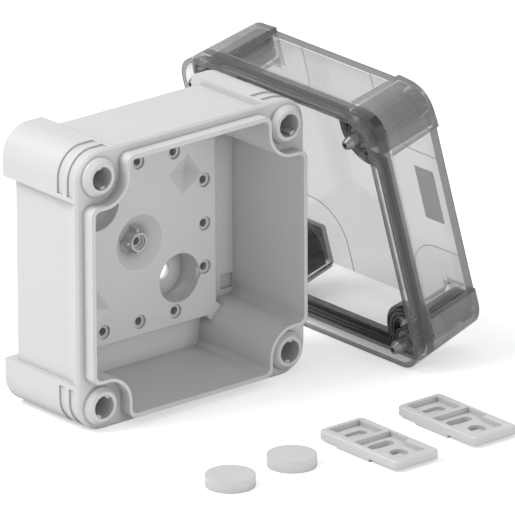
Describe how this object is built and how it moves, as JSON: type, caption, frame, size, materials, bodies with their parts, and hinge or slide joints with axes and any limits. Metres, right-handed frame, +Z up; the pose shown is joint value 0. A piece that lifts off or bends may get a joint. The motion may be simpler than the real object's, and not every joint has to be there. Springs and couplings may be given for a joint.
{
  "type": "polycarbonate enclosure",
  "caption": "Square wall-mount electronics enclosure with a clear screw-down lid taken off, a sealing gasket, sealing caps and wall lugs.",
  "frame": {"origin": "middle of the base's inner mounting face, midway between the mouths of the two wells", "axes": "-Y out of the base's open front, +Z up as the base stands on its side, +X to the right seen from the front"},
  "size_m": [0.178, 0.1889, 0.1179],
  "materials": {
    "shell": "fine moulded",
    "clear_cover": "clear moulded",
    "seal": "matt",
    "screw": "satin"
  },
  "bodies": {
    "base": {"base": "shell"},
    "lid": {"lid": "clear_cover", "gasket": "seal"},
    "screw_front_upper": {"cover_screw_front_upper": "screw", "retaining_ring_front_upper": "screw"},
    "screw_front_lower": {"cover_screw_front_lower": "screw", "retaining_ring_front_lower": "screw"},
    "screw_back_upper": {"cover_screw_back_upper": "screw", "retaining_ring_back_upper": "screw"},
    "screw_back_lower": {"cover_screw_back_lower": "screw", "retaining_ring_back_lower": "screw"},
    "cap_left": {"sealing_cap_left": "shell"},
    "cap_right": {"sealing_cap_right": "shell"},
    "lug_left": {"wall_lug_left": "shell"},
    "lug_right": {"wall_lug_right": "shell"}
  },
  "joints": [
    {"name": "lid_take_off", "type": "slide", "parent": "base", "child": "lid", "axis": [1, 0, 0], "range_m": [0, 0.1]},
    {"name": "quarter_turn_front_upper", "type": "hinge", "parent": "lid", "child": "screw_front_upper", "pos_m": [0.0601, -0.05725, 0.04322], "axis": [0.9659, 0, 0.2588], "range_deg": [0, 90]},
    {"name": "quarter_turn_front_lower", "type": "hinge", "parent": "lid", "child": "screw_front_lower", "pos_m": [0.0843, -0.05725, -0.0471], "axis": [0.9659, 0, 0.2588], "range_deg": [0, 90]},
    {"name": "quarter_turn_back_upper", "type": "hinge", "parent": "lid", "child": "screw_back_upper", "pos_m": [0.0601, 0.03625, 0.04322], "axis": [0.9659, 0, 0.2588], "range_deg": [0, 90]},
    {"name": "quarter_turn_back_lower", "type": "hinge", "parent": "lid", "child": "screw_back_lower", "pos_m": [0.0843, 0.03625, -0.0471], "axis": [0.9659, 0, 0.2588], "range_deg": [0, 90]},
    {"name": "cap_lift_left", "type": "slide", "parent": "base", "child": "cap_left", "axis": [0, 0, 1], "range_m": [0, 0.05]},
    {"name": "cap_lift_right", "type": "slide", "parent": "base", "child": "cap_right", "axis": [0, 0, 1], "range_m": [0, 0.05]},
    {"name": "lug_lift_left", "type": "slide", "parent": "base", "child": "lug_left", "axis": [0, 0, 1], "range_m": [0, 0.05]},
    {"name": "lug_lift_right", "type": "slide", "parent": "base", "child": "lug_right", "axis": [0, 0, 1], "range_m": [0, 0.05]}
  ]
}
